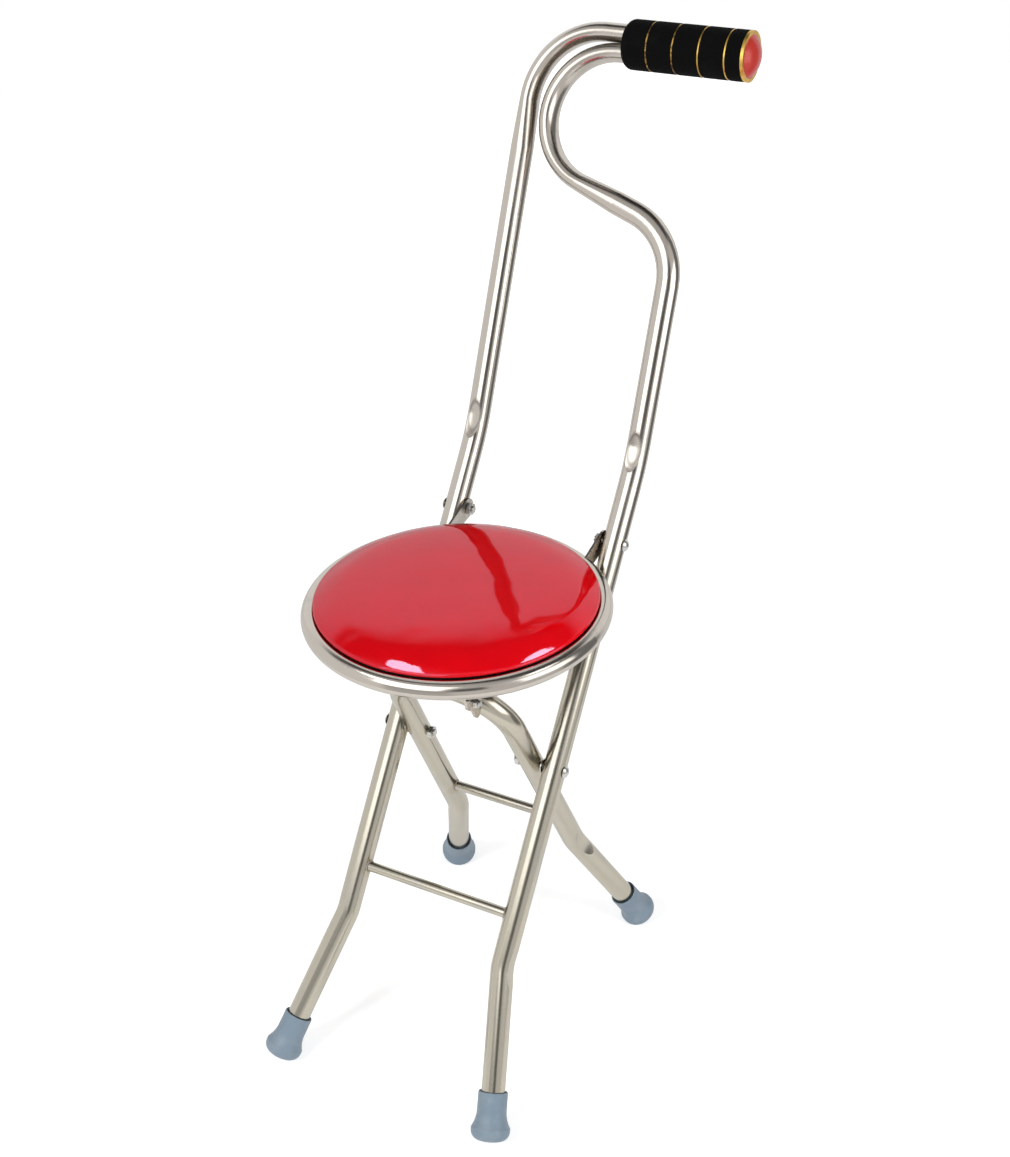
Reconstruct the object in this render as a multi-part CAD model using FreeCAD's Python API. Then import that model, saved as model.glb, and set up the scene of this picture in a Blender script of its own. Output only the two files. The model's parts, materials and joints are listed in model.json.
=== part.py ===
import FreeCAD, Part
import math
import os

# A walking cane that opens into a stool: two long bent tubes run from the handle to the front feet,
# a bent rear leg frame is bolted across them, and a round padded seat is hinged between them.
# Millimetres and degrees. +X is to the right, +Y to the back, +Z up, and the floor is Z = 0.

# Long frame tubes
tube_od = 20.0
tube_wall = 1.0
frame_half_span = 77.5
lower_lean = 36.4
upper_lean = 23.8
kink_radius = 200.0
leg_bend_radius = 45.0
seat_pivot_height = 416.0
kink_above_seat_pivot = 70.5
leg_pivot_below_seat_pivot = 198.0
front_bar_below_leg_pivot = 128.5
front_bend_below_leg_pivot = 171.5
front_splay = 11.6
dent_depth = 2.2
dent_radius = 45.0
dent_above_kink = 12.0

# Rear leg frame
rear_lean = 26.5
rear_spread = 2.0
tube_side_gap = 1.6
rear_bar_below_leg_pivot = 104.5
rear_bend_below_leg_pivot = 146.0
rear_splay = 16.7
arch_above_leg_pivot = 102.0
arch_flat = 12.0
bar_od = 9.0

# Handle: both tubes are pressed oval and stacked inside one foam grip
grip_above_kink = 340.8
grip_od = 41.0
grip_start = 5.0
grip_length = 107.5
grip_end_round = 7.0
oval_thickness = 15.7
oval_run = 40.0
upper_bend_radius = 62.0
swan_side_gap = 3.15
swan_centre_x = -0.5
neck_drop = 18.4
shoulder_radius = 58.0
tube_end_setback = 7.5
gold_ring_count = 4
gold_ring_first = 24.0
gold_ring_pitch = 23.0
gold_ring_width = 1.2
gold_ring_depth = 1.6
gold_ring_sink = 0.4
foam_pinch = 1.2
end_ring_thickness = 2.5
end_ring_rim = 3.2
cap_dome_height = 7.0
cap_plug_od = 23.0

# Rubber feet
foot_length = 40.0
foot_wall = 2.5
foot_flare = 4.0
foot_floor = 10.0
foot_neck_length = 16.0
foot_sole_band = 10.5
foot_edge_round = 8.0
foot_mouth = 1.6
foot_waist_hollow = 1.0
foot_flat = 1.2

# Seat
ring_radius = 119.0
ring_tube_od = 16.0
ring_below_seat_pivot = 8.0
ear_thickness = 2.0
ear_eye_radius = 9.0
ear_foot_radius = 7.0
ear_reach = 35.1
tab_width = 22.0
tab_reach = 22.0
tab_thickness = 2.5
tab_angles = (40, 140, 220, 320)
board_thickness = 9.0
board_edge_gap = 1.2
cushion_inset = 1.5
cushion_tuck = 1.5
cushion_edge_round = 3.0
cushion_edge_slope = 28.0
cushion_shoulder_radius = 45.0
cushion_crown_slope = 7.0

# Catch under the seat: two hooks drop over the arch of the rear legs
hook_from_leg = 15.8
hook_thickness = 2.5
hook_prong = 8.0
hook_depth = 10.0
hook_top_above_notch = 19.0
hook_back = 9.0
catch_bolt_forward = 11.6
catch_bolt_above_notch = 8.0
bracket_thickness = 2.5
bracket_width = 16.0
bracket_screw_inset = 18.5

# Fasteners
pivot_bolt_od = 6.0
pivot_head_od = 11.0
pivot_head_height = 3.0
pivot_nut_flats = 10.0
pivot_nut_height = 4.0
nut_chamfer = 30.0
bolt_tip = 1.6
leg_washer_od = 13.0
leg_washer_thickness = 1.0
catch_bolt_od = 5.0
catch_head_od = 9.0
catch_head_height = 2.6
catch_nut_flats = 8.0
catch_nut_height = 3.6
screw_od = 3.6
screw_head_od = 7.0
screw_head_height = 2.0
screw_depth = 5.5

# Clearances
bolt_clearance = 0.05
weld_gap = 0.05
face_gap = 0.3
grip_clearance = 0.1
foot_clearance = 0.05
catch_clearance = 1.0
cushion_clearance = 0.4
oval_gap = 0.1

V = FreeCAD.Vector
ORIGIN = V(0, 0, 0)
X = V(1, 0, 0)
Z = V(0, 0, 1)
tube_radius = tube_od / 2
ring_tube_radius = ring_tube_od / 2
foot_neck_od = tube_od + 2 * foot_wall
foot_sole_od = foot_neck_od + 2 * foot_flare
end_ring_bore = grip_od - 2 * end_ring_rim
ear_x = frame_half_span - tube_radius - face_gap - ear_thickness / 2
ring_back = math.sqrt(ring_radius ** 2 - ear_x ** 2)


def leaning(angle):
    """Unit vector that points up and leans back from the vertical by the angle."""
    return V(0, math.sin(math.radians(angle)), math.cos(math.radians(angle)))


lower_up = leaning(lower_lean)
upper_up = leaning(upper_lean)
rear_up = leaning(-rear_lean)
rear_back = X.cross(rear_up) * -1
upper_front = X.cross(upper_up)
seat_pivot = V(0, ring_back + ear_reach, seat_pivot_height)
kink = seat_pivot + lower_up * kink_above_seat_pivot
leg_pivot = seat_pivot - lower_up * leg_pivot_below_seat_pivot
seat_centre = V(0, 0, seat_pivot_height - ring_below_seat_pivot)
rear_half_span = frame_half_span - tube_od - tube_side_gap


def upper_point(x, height):
    """Point in the plane of the upper tubes, at a height along them above the kink."""
    return kink + upper_up * height + X * x


def rear_point(x, height):
    """Point in the plane of the rear legs, at a height along them above their pivot."""
    return leg_pivot + rear_up * height + X * x


def line(start, end):
    return Part.LineSegment(start, end).toShape()


def lines(points):
    return [line(a, b) for a, b in zip(points, points[1:])]


def turned(edges):
    """Solid of revolution about Z from a closed outline in the XZ plane."""
    return Part.Face(Part.Wire(edges)).revolve(ORIGIN, Z, 360)


def dome_arc(radius, base, height):
    """Arc in the XZ plane from the rim of a low dome to its crest."""
    bulge = (radius ** 2 + height ** 2) / (2 * height)
    slope = math.asin(radius / bulge) / 2
    crest = base + height
    middle = V(bulge * math.sin(slope), 0, crest - bulge * (1 - math.cos(slope)))
    return Part.Arc(V(radius, 0, base), middle, V(0, 0, crest)).toShape()


def bent_wire(corners, radii):
    """Straight runs through the corners, with a tangent arc at each inner corner."""
    edges = []
    start = corners[0]
    for before, corner, after, radius in zip(corners, corners[1:], corners[2:], radii):
        back = (before - corner).normalize()
        ahead = (after - corner).normalize()
        half_turn = (math.pi - back.getAngle(ahead)) / 2
        reach = radius * math.tan(half_turn)
        inward = (back + ahead).normalize()
        middle = corner + inward * (radius / math.cos(half_turn) - radius)
        arc = Part.Arc(corner + back * reach, middle, corner + ahead * reach)
        edges.append(line(start, corner + back * reach))
        edges.append(arc.toShape())
        start = corner + ahead * reach
    edges.append(line(start, corners[-1]))
    return Part.Wire(edges)


def round_sweep(corners, radii, radius):
    """Solid round bar along a bent path."""
    profile = Part.Wire([Part.Circle(corners[0], corners[1] - corners[0], radius).toShape()])
    return bent_wire(corners, radii).makePipeShell([profile], True, False)


def oval_outline(centre, heading, across, half_width, half_thickness):
    """Oval outline square to the heading, with its long axis along across."""
    if half_width > half_thickness:
        curve = Part.Ellipse(ORIGIN, half_width, half_thickness)
    else:
        curve = Part.Circle(ORIGIN, Z, half_width)
    outline = Part.Wire([curve.toShape()])
    turn = FreeCAD.Rotation(across, heading.cross(across), heading, "ZXY")
    outline.Placement = FreeCAD.Placement(centre, turn)
    return outline


def oval_half_width(half_thickness):
    """Half width of a tube that is pressed to half its thickness and keeps its girth."""
    return math.sqrt(2 * tube_radius ** 2 - half_thickness ** 2)


def joined(solids):
    """One solid from pieces that meet face to face."""
    return solids[0].fuse(solids[1:]).removeSplitter().Solids[0]


def cylinder(base, direction, radius, length):
    return Part.makeCylinder(radius, length, base, direction)


def dent_ball(before, corner, after, grow):
    """Ball that presses a dent into the inside of a bend."""
    inward = ((before - corner).normalize() + (after - corner).normalize()).normalize()
    centre = corner + inward * (tube_radius - dent_depth + dent_radius)
    return Part.makeSphere(dent_radius + grow, centre)


def hollow(solid_at, bends):
    """Tube wall between two insets of one outline, with a dent at each named bend."""
    outer = solid_at(0)
    inner = solid_at(tube_wall)
    for bend in bends:
        outer = outer.cut(dent_ball(*bend, 0))
        inner = inner.cut(dent_ball(*bend, tube_wall))
    return outer.cut(inner).Solids[0]


def through_x(point, radius):
    """Cutter for a cross hole through everything at a point seen from the side."""
    reach = frame_half_span + tube_od
    return cylinder(point - X * reach, X, radius, 2 * reach)


# Legs down to the floor

def leg_direction(plane_up, splay, side):
    """Unit vector down a splayed leg."""
    angle = math.radians(splay)
    return plane_up * -math.cos(angle) + X * (side * math.sin(angle))


def sole_centre(bend, direction):
    """Where a foot's sole lies on the leg's axis, so that its round edge is pressed flat on the floor."""
    tilt = math.acos(-direction.z)
    edge_inside = foot_sole_od / 2 - foot_edge_round
    edge_drop = edge_inside * math.sin(tilt) + foot_edge_round * (1 - math.cos(tilt))
    return bend + direction * ((edge_drop - foot_flat - bend.z) / direction.z)


def front_bend(side):
    return leg_pivot - lower_up * front_bend_below_leg_pivot + X * (side * frame_half_span)


def rear_half_width(height):
    return rear_half_span - height * math.tan(math.radians(rear_spread))


arch_half_width = rear_half_width(arch_above_leg_pivot)
arch_turn = math.radians(90 - rear_spread)
arch_radius = (arch_half_width - arch_flat / 2) / math.tan(arch_turn / 2)
hook_x = arch_half_width - hook_from_leg
bracket_screw_x = hook_x - bracket_screw_inset


def rear_bend(side):
    height = -rear_bend_below_leg_pivot
    return rear_point(side * rear_half_width(height), height)


front_direction = {side: leg_direction(lower_up, front_splay, side) for side in (-1, 1)}
rear_direction = {side: leg_direction(rear_up, rear_splay, side) for side in (-1, 1)}
front_sole = {side: sole_centre(front_bend(side), front_direction[side]) for side in (-1, 1)}
rear_sole = {side: sole_centre(rear_bend(side), rear_direction[side]) for side in (-1, 1)}


def foot(sole, direction):
    """Rubber foot that the tube's end plugs into, cut flat where it stands."""
    sole_radius = foot_sole_od / 2
    neck_radius = foot_neck_od / 2
    bore = tube_radius + foot_clearance
    neck_base = foot_length - foot_neck_length
    edge = foot_edge_round * (1 - math.sqrt(0.5))
    edge_start = V(sole_radius - foot_edge_round, 0, 0)
    edge_end = V(sole_radius, 0, foot_edge_round)
    band_top = V(sole_radius, 0, foot_sole_band)
    waist = V((sole_radius + neck_radius) / 2 - foot_waist_hollow, 0, (foot_sole_band + neck_base) / 2)
    neck = V(neck_radius, 0, neck_base)
    inside = [
        neck,
        V(neck_radius, 0, foot_length - foot_mouth / 2),
        V((neck_radius + bore + foot_mouth) / 2, 0, foot_length),
        V(bore + foot_mouth, 0, foot_length),
        V(bore, 0, foot_length - 2 * foot_mouth),
        V(bore, 0, foot_floor),
        V(0, 0, foot_floor),
        ORIGIN,
    ]
    outside = [
        line(ORIGIN, edge_start),
        Part.Arc(edge_start, V(sole_radius - edge, 0, edge), edge_end).toShape(),
        line(edge_end, band_top),
        Part.Arc(band_top, waist, neck).toShape(),
    ]
    solid = turned(outside + lines(inside))
    solid.Placement = FreeCAD.Placement(sole, FreeCAD.Rotation(Z, direction * -1))
    below = Part.makeBox(4 * foot_sole_od, 4 * foot_sole_od, foot_sole_od)
    below.translate(V(sole.x - 2 * foot_sole_od, sole.y - 2 * foot_sole_od, -foot_sole_od))
    return solid.cut(below).Solids[0]


# Long frame tubes and the handle

oval_spacing = oval_thickness + oval_gap
upper_tube_height = grip_above_kink + oval_spacing / 2
lower_tube_height = grip_above_kink - oval_spacing / 2
tube_end_x = grip_start + grip_length - tube_end_setback
swan_radius = frame_half_span - tube_radius - swan_side_gap - oval_thickness / 2 + swan_centre_x


def oval_sizes(inset):
    """Half width and half thickness of the pressed tube, inset from its outside."""
    half_thickness = oval_thickness / 2
    return oval_half_width(half_thickness) - inset, half_thickness - inset


def front_tube_end(side):
    return front_sole[side] - front_direction[side] * foot_floor


def kink_point(side):
    return kink + X * (side * frame_half_span)


def pressed_end(start, bend_start, bend_centre, heading, turn, inset):
    """The handle end of a long tube: pressed from round to oval, bent, and run on into the grip."""
    radius = tube_radius - inset
    wide, thin = oval_sizes(inset)
    round_outline = oval_outline(start, heading, upper_front, radius, radius)
    oval = oval_outline(bend_start, heading, upper_front, wide, thin)
    press = Part.makeLoft([round_outline, oval], True)
    bend = Part.Face(oval).revolve(bend_centre, upper_front, -turn)
    bend_top = FreeCAD.Rotation(upper_front, -turn).multVec(bend_start - bend_centre) + bend_centre
    end_face = Part.Face(oval_outline(bend_top, X, upper_front, wide, thin))
    run = end_face.extrude(X * (tube_end_x - bend_top.x))
    return [press, bend, run]


def left_solid(inset):
    bend_base = upper_tube_height - upper_bend_radius
    bend_start = upper_point(-frame_half_span, bend_base)
    bend_centre = upper_point(upper_bend_radius - frame_half_span, bend_base)
    press_start = upper_point(-frame_half_span, bend_base - oval_run)
    corners = [front_tube_end(-1), front_bend(-1), kink_point(-1), press_start]
    body = round_sweep(corners, [leg_bend_radius, kink_radius], tube_radius - inset)
    return joined([body] + pressed_end(press_start, bend_start, bend_centre, upper_up, 90, inset))


def right_solid(inset):
    drop = math.radians(neck_drop)
    neck_up = upper_up * math.sin(drop) - X * math.cos(drop)
    centre_height = lower_tube_height - swan_radius
    bend_centre = upper_point(swan_centre_x, centre_height)
    bend_start = bend_centre - (X * math.sin(drop) + upper_up * math.cos(drop)) * swan_radius
    neck_rise = (frame_half_span - bend_start.x) / math.cos(drop)
    shoulder = bend_start - neck_up * neck_rise
    press_start = bend_start - neck_up * oval_run
    corners = [front_tube_end(1), front_bend(1), kink_point(1), shoulder, press_start]
    body = round_sweep(corners, [leg_bend_radius, kink_radius, shoulder_radius], tube_radius - inset)
    turn = 180 - neck_drop
    return joined([body] + pressed_end(press_start, bend_start, bend_centre, neck_up, turn, inset))


def frame_tube(side, solid_at):
    """Long tube with its dents and its two bolt holes."""
    dent = upper_point(side * frame_half_span, dent_above_kink)
    bends = [
        (front_tube_end(side), front_bend(side), kink_point(side)),
        (kink_point(side), dent, dent + upper_up),
    ]
    tube = hollow(solid_at, bends)
    bore = pivot_bolt_od / 2 + bolt_clearance
    for point in (seat_pivot, leg_pivot):
        tube = tube.cut(through_x(point, bore))
    return tube.Solids[0]


def crossbar(point, half_span, tube_up):
    """Bar welded between two tubes, its ends shaped to their sides."""
    bar = cylinder(point - X * half_span, X, bar_od / 2, 2 * half_span)
    for side in (-1, 1):
        axis = tube_up(side)
        base = point + X * (side * half_span) - axis * tube_od
        bar = bar.cut(cylinder(base, axis, tube_radius + weld_gap, 2 * tube_od))
    return bar.Solids[0]


def grip_point(x):
    return upper_point(x, grip_above_kink)


def disc(x, outer_radius, inner_radius, length):
    """Ring around the grip's axis."""
    ring = cylinder(grip_point(x), X, outer_radius, length)
    return ring.cut(cylinder(grip_point(x), X, inner_radius, length))


def gold_ring_places():
    return [grip_start + gold_ring_first + gold_ring_pitch * i for i in range(gold_ring_count)]


def rim_edges(sleeve, places):
    """Outer edges of a sleeve that run round the grip's axis at the places."""
    edges = []
    for edge in sleeve.Edges:
        if edge.Closed and abs(edge.Curve.Radius - grip_od / 2) < 0.01:
            edges += [edge for place in places if abs(edge.CenterOfMass.x - place) < 0.01]
    return edges


def handle_grip():
    """Foam sleeve over both tube ends, rounded at the near end and pinched in by the gold rings."""
    radius = grip_od / 2
    sleeve = cylinder(grip_point(grip_start), X, radius, grip_length)
    sleeve = sleeve.makeFillet(grip_end_round, rim_edges(sleeve, [grip_start]))
    groove_floor = radius - gold_ring_depth
    for place in gold_ring_places():
        sleeve = sleeve.cut(disc(place, radius + gold_ring_depth, groove_floor, gold_ring_width))
        sleeve = sleeve.makeFillet(foam_pinch, rim_edges(sleeve, [place, place + gold_ring_width]))
    wide, thin = oval_sizes(-grip_clearance)
    for height in (upper_tube_height, lower_tube_height):
        start = upper_point(grip_start - grip_end_round, height)
        hole = Part.Face(oval_outline(start, X, upper_front, wide, thin))
        sleeve = sleeve.cut(hole.extrude(X * (tube_end_x + face_gap - start.x)))
    far_bore = tube_end_setback + face_gap
    plug_bore = cap_plug_od / 2 + grip_clearance
    sleeve = sleeve.cut(cylinder(grip_point(tube_end_x), X, plug_bore, far_bore))
    return sleeve.Solids[0]


def gold_rings():
    groove_floor = grip_od / 2 - gold_ring_depth
    width = gold_ring_width - 2 * bolt_clearance
    outside = grip_od / 2 - gold_ring_sink
    rings = [disc(place + bolt_clearance, outside, groove_floor + bolt_clearance, width)
             for place in gold_ring_places()]
    return Part.makeCompound(rings)


grip_end_x = grip_start + grip_length


def grip_end_ring():
    return disc(grip_end_x, grip_od / 2, end_ring_bore / 2, end_ring_thickness)


def grip_end_cap():
    """Domed cap with a plug that fits the end of the foam."""
    radius = end_ring_bore / 2 - bolt_clearance
    plug = cap_plug_od / 2
    plug_length = tube_end_setback - face_gap
    outline = [
        V(0, 0, end_ring_thickness + cap_dome_height),
        V(0, 0, -plug_length),
        V(plug, 0, -plug_length),
        V(plug, 0, 0),
        V(radius, 0, 0),
        V(radius, 0, end_ring_thickness),
    ]
    cap = turned(lines(outline) + [dome_arc(radius, end_ring_thickness, cap_dome_height)])
    cap.Placement = FreeCAD.Placement(grip_point(grip_end_x), FreeCAD.Rotation(Z, X))
    return cap


# Rear leg frame

def rear_tube_end(side):
    return rear_sole[side] - rear_direction[side] * foot_floor


def arch_corner(side):
    return rear_point(side * arch_half_width, arch_above_leg_pivot)


def rear_solid(inset):
    corners = [rear_tube_end(-1), rear_bend(-1), arch_corner(-1)]
    corners += [arch_corner(1), rear_bend(1), rear_tube_end(1)]
    radii = [leg_bend_radius, arch_radius, arch_radius, leg_bend_radius]
    return round_sweep(corners, radii, tube_radius - inset)


def rear_leg_frame():
    bends = [(rear_tube_end(side), rear_bend(side), arch_corner(side)) for side in (-1, 1)]
    bore = pivot_bolt_od / 2 + bolt_clearance
    return hollow(rear_solid, bends).cut(through_x(leg_pivot, bore)).Solids[0]


def rear_leg_up(side):
    return (arch_corner(side) - rear_bend(side)).normalize()


def arch_height(x):
    """Height of the arch's centre line above the leg pivot, within its bent corner."""
    into_bend = max(0, x - arch_flat / 2)
    return arch_above_leg_pivot - arch_radius + math.sqrt(arch_radius ** 2 - into_bend ** 2)


def arch_slope(x):
    """Cosine of the arch's slope, sideways, at a distance from the middle."""
    rise = arch_height(x) - (arch_above_leg_pivot - arch_radius)
    return rise / arch_radius


# Seat

board_top = ring_tube_radius + cushion_clearance


def torus(tube):
    return Part.makeTorus(ring_radius, tube, seat_centre, Z)


def seat_ring():
    return torus(ring_tube_radius).cut(torus(ring_tube_radius - tube_wall)).Solids[0]


def plate(outline, x, thickness):
    """Flat plate, square to X, from an outline of points and (middle, end) arcs seen from the side."""
    edges = []
    last = outline[0]
    for step in outline[1:]:
        if isinstance(step, tuple):
            edges.append(Part.Arc(last, *step).toShape())
            last = step[-1]
        else:
            edges.append(line(last, step))
            last = step
    edges.append(line(last, outline[0]))
    face = Part.Face(Part.Wire(edges))
    face.translate(X * x)
    return face.extrude(X * thickness)


def strap_outline(start, start_radius, end, end_radius):
    """Outline of a strap that is rounded about two points."""
    along = (end - start).normalize()
    across = X.cross(along)
    return [
        start + across * start_radius,
        (start - along * start_radius, start - across * start_radius),
        end - across * end_radius,
        (end + along * end_radius, end + across * end_radius),
    ]


def seat_ear(side):
    """Strap welded to the back of the ring, with the eye for the seat's pivot bolt."""
    start_x = side * ear_x - ear_thickness / 2
    weld = seat_centre + V(0, ring_back, 0)
    ear = plate(strap_outline(seat_pivot, ear_eye_radius, weld, ear_foot_radius), start_x, ear_thickness)
    ear = ear.cut(torus(ring_tube_radius + weld_gap))
    ear = max(ear.Solids, key=lambda solid: solid.BoundBox.YMax)
    return ear.cut(through_x(seat_pivot, pivot_bolt_od / 2 + bolt_clearance)).Solids[0]


tab_top = board_top - board_thickness


def around_seat(angle, radius, height):
    """Point over the seat, by its direction from the middle and its height above the ring's middle."""
    turn = math.radians(angle)
    return seat_centre + V(radius * math.cos(turn), radius * math.sin(turn), height)


tab_screw_radius = ring_radius - ring_tube_radius - tab_reach / 2


def seat_tabs():
    """Small plates welded inside the ring, which the board is screwed to."""
    tabs = []
    for angle in tab_angles:
        tab = Part.makeBox(tab_reach + ring_tube_radius, tab_width, tab_thickness)
        tab.translate(V(ring_radius - ring_tube_radius - tab_reach, -tab_width / 2, tab_top - tab_thickness))
        tab.rotate(ORIGIN, Z, angle)
        tab.translate(seat_centre)
        tab = tab.cut(torus(ring_tube_radius + weld_gap))
        tab = min(tab.Solids, key=lambda solid: abs(solid.CenterOfMass.sub(seat_centre).Length))
        hole = around_seat(angle, tab_screw_radius, tab_top - 2 * tab_thickness)
        tabs.append(tab.cut(cylinder(hole, Z, screw_od / 2 + bolt_clearance, 3 * tab_thickness)).Solids[0])
    return Part.makeCompound(tabs)


def notch_height():
    """Top of the hooks' notch, just above the arch where it passes under them."""
    return arch_height(hook_x) + tube_radius / arch_slope(hook_x) + catch_clearance


def catch_point(back, above_notch):
    """Point on a hook, by its distance behind the rear legs' plane and above the notch."""
    return rear_point(0, notch_height() + above_notch) + rear_back * back


catch_bolt = catch_point(-catch_bolt_forward, catch_bolt_above_notch)


def bracket_screw_places():
    return [V(side * bracket_screw_x, catch_bolt.y, seat_centre.z + tab_top) for side in (-1, 1)]


def screw_places():
    """Heads' seats of all the screws that go up into the board, with the thickness each one clamps."""
    tabs = [(around_seat(angle, tab_screw_radius, tab_top), tab_thickness) for angle in tab_angles]
    return tabs + [(place, bracket_thickness) for place in bracket_screw_places()]


def seat_board():
    """Round board inside the ring, with a pilot hole for each screw."""
    radius = ring_radius - ring_tube_radius - board_edge_gap
    board = cylinder(seat_centre + Z * tab_top, Z, radius, board_thickness)
    for place, clamped in screw_places():
        board = board.cut(cylinder(place, Z, screw_od / 2 + bolt_clearance, screw_depth + face_gap))
    return board.Solids[0]


def seat_screws():
    screws = []
    for place, clamped in screw_places():
        head = cylinder(place - Z * (clamped + screw_head_height), Z, screw_head_od / 2, screw_head_height)
        shank = cylinder(place - Z * clamped, Z, screw_od / 2, clamped + screw_depth)
        screws.append(joined([head, shank]))
    return Part.makeCompound(screws)


def arc_between(centre, radius, start_slope, end_slope):
    """Arc of an outline in the XZ plane between two slopes; slope 90 faces straight out, 0 straight up."""
    points = []
    for slope in (start_slope, (start_slope + end_slope) / 2, end_slope):
        turn = math.radians(slope)
        points.append(centre + V(radius * math.sin(turn), 0, radius * math.cos(turn)))
    return Part.Arc(*points).toShape(), points[-1]


def along_slope(slope, distance):
    """Step along the outward normal of an outline at a slope."""
    turn = math.radians(slope)
    return V(distance * math.sin(turn), 0, distance * math.cos(turn))


def seat_cushion():
    """Pad on the board: its sides draw in to the board below, and a round shoulder rises to its crown."""
    widest = ring_radius - cushion_inset
    base = V(widest - cushion_tuck, 0, board_top)
    tuck, tuck_end = arc_between(base + Z * cushion_tuck, cushion_tuck, 180, 90)
    edge_centre = tuck_end - X * cushion_edge_round
    edge, edge_end = arc_between(edge_centre, cushion_edge_round, 90, cushion_edge_slope)
    shoulder_centre = edge_end - along_slope(cushion_edge_slope, cushion_shoulder_radius)
    shoulder, shoulder_end = arc_between(
        shoulder_centre, cushion_shoulder_radius, cushion_edge_slope, cushion_crown_slope)
    crown_radius = shoulder_end.x / math.sin(math.radians(cushion_crown_slope))
    crown_centre = shoulder_end - along_slope(cushion_crown_slope, crown_radius)
    crown, crest = arc_between(crown_centre, crown_radius, cushion_crown_slope, 0)
    sides = lines([crest, V(0, 0, board_top), base])
    pad = turned(sides + [tuck, edge, shoulder, crown])
    pad.translate(seat_centre)
    return pad


def catch_bracket():
    """Flat bar bent to a U: its web is screwed under the board, and each cheek carries a hook."""
    inner = hook_x - bracket_thickness
    top = seat_centre.z + tab_top
    half = bracket_width / 2
    web = Part.makeBox(2 * hook_x, bracket_width, bracket_thickness)
    web.translate(V(-hook_x, catch_bolt.y - half, top - bracket_thickness))
    pieces = [web]
    for x in (-hook_x, inner):
        upper = V(0, catch_bolt.y, top)
        outline = [upper + V(0, half, 0), catch_bolt + V(0, half, 0),
                   (catch_bolt - Z * half, catch_bolt - V(0, half, 0)), upper - V(0, half, 0)]
        pieces.append(plate(outline, x, bracket_thickness))
    bracket = joined(pieces)
    bracket = bracket.cut(through_x(catch_bolt, catch_bolt_od / 2 + bolt_clearance))
    hole = screw_od / 2 + bolt_clearance
    for place in bracket_screw_places():
        bracket = bracket.cut(cylinder(place - Z * 2 * bracket_thickness, Z, hole, 3 * bracket_thickness))
    return bracket.Solids[0]


def catch_hook(side):
    """Plate with an open notch: its front prong keeps the arch from sliding forward."""
    notch_radius = tube_radius + catch_clearance
    tip = hook_prong / 2
    tip_start = tip - hook_depth
    wrap = math.acos((notch_radius + tip_start) / notch_radius)
    lip = notch_radius * math.sin(wrap)
    half_lip = notch_radius * math.sin(wrap / 2)
    half_depth = notch_radius * (1 - math.cos(wrap / 2))
    front = -lip - hook_prong
    outline = [
        catch_point(front, hook_top_above_notch),
        catch_point(front, tip_start),
        (catch_point(front + tip, -hook_depth), catch_point(-lip, tip_start)),
        (catch_point(-half_lip, -half_depth), catch_point(0, 0)),
        catch_point(hook_back, 0),
        catch_point(hook_back, catch_bolt_above_notch),
        catch_point(0, hook_top_above_notch),
    ]
    start_x = hook_x if side > 0 else -hook_x - hook_thickness
    hook = plate(outline, start_x, hook_thickness)
    return hook.cut(through_x(catch_bolt, catch_bolt_od / 2 + bolt_clearance)).Solids[0]


# Bolts, nuts and washers

def sideways(shape, x, point, side, outwards):
    """Copy of an upright fastener laid along X, its top outwards or towards the middle."""
    top = X * side if outwards else X * -side
    placed = shape.copy()
    placed.Placement = FreeCAD.Placement(V(side * x, point.y, point.z), FreeCAD.Rotation(Z, top))
    return placed


def dome_bolt(shank_od, shank_length, head_od, head_height):
    """Bolt with a low domed head above Z = 0 and its shank below."""
    outline = [
        V(0, 0, head_height),
        V(0, 0, -shank_length),
        V(shank_od / 2, 0, -shank_length),
        V(shank_od / 2, 0, 0),
        V(head_od / 2, 0, 0),
    ]
    return turned(lines(outline) + [dome_arc(head_od / 2, 0, head_height)])


def hex_nut(flats, height, bolt_od):
    """Six-sided nut with its corners turned off at both ends."""
    rim = flats / 2
    corner = rim / math.cos(math.pi / 6)
    turns = [math.radians(60 * i) for i in range(7)]
    points = [V(corner * math.cos(turn), corner * math.sin(turn), 0) for turn in turns]
    nut = Part.Face(Part.makePolygon(points)).extrude(Z * height)
    drop = (corner - rim) * math.tan(math.radians(nut_chamfer))
    barrel = [
        ORIGIN,
        V(rim, 0, 0),
        V(corner, 0, drop),
        V(corner, 0, height - drop),
        V(rim, 0, height),
        Z * height,
        ORIGIN,
    ]
    nut = nut.common(turned(lines(barrel)))
    return nut.cut(cylinder(ORIGIN, Z, bolt_od / 2 + bolt_clearance, height)).Solids[0]


def both_sides(shape, x, point, outwards=True):
    return Part.makeCompound([sideways(shape, x, point, side, outwards) for side in (-1, 1)])


head_seat = frame_half_span + tube_radius + weld_gap
seat_nut_x = frame_half_span - tube_radius - 2 * face_gap - ear_thickness - pivot_nut_height
leg_nut_x = rear_half_span - tube_radius - 2 * face_gap - pivot_nut_height
leg_washer_x = frame_half_span - tube_radius - weld_gap - leg_washer_thickness
catch_head_seat = hook_x - bracket_thickness - weld_gap
catch_nut_seat = hook_x + hook_thickness + weld_gap


def pivot_bolts(point, nut_x):
    bolt = dome_bolt(pivot_bolt_od, head_seat - nut_x + bolt_tip, pivot_head_od, pivot_head_height)
    return both_sides(bolt, head_seat, point)


def pivot_nuts(point, nut_x):
    return both_sides(hex_nut(pivot_nut_flats, pivot_nut_height, pivot_bolt_od), nut_x, point)


def leg_pivot_washers():
    washer = cylinder(ORIGIN, Z, leg_washer_od / 2, leg_washer_thickness)
    washer = washer.cut(cylinder(ORIGIN, Z, pivot_bolt_od / 2 + bolt_clearance, leg_washer_thickness))
    return both_sides(washer, leg_washer_x, leg_pivot)


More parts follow.
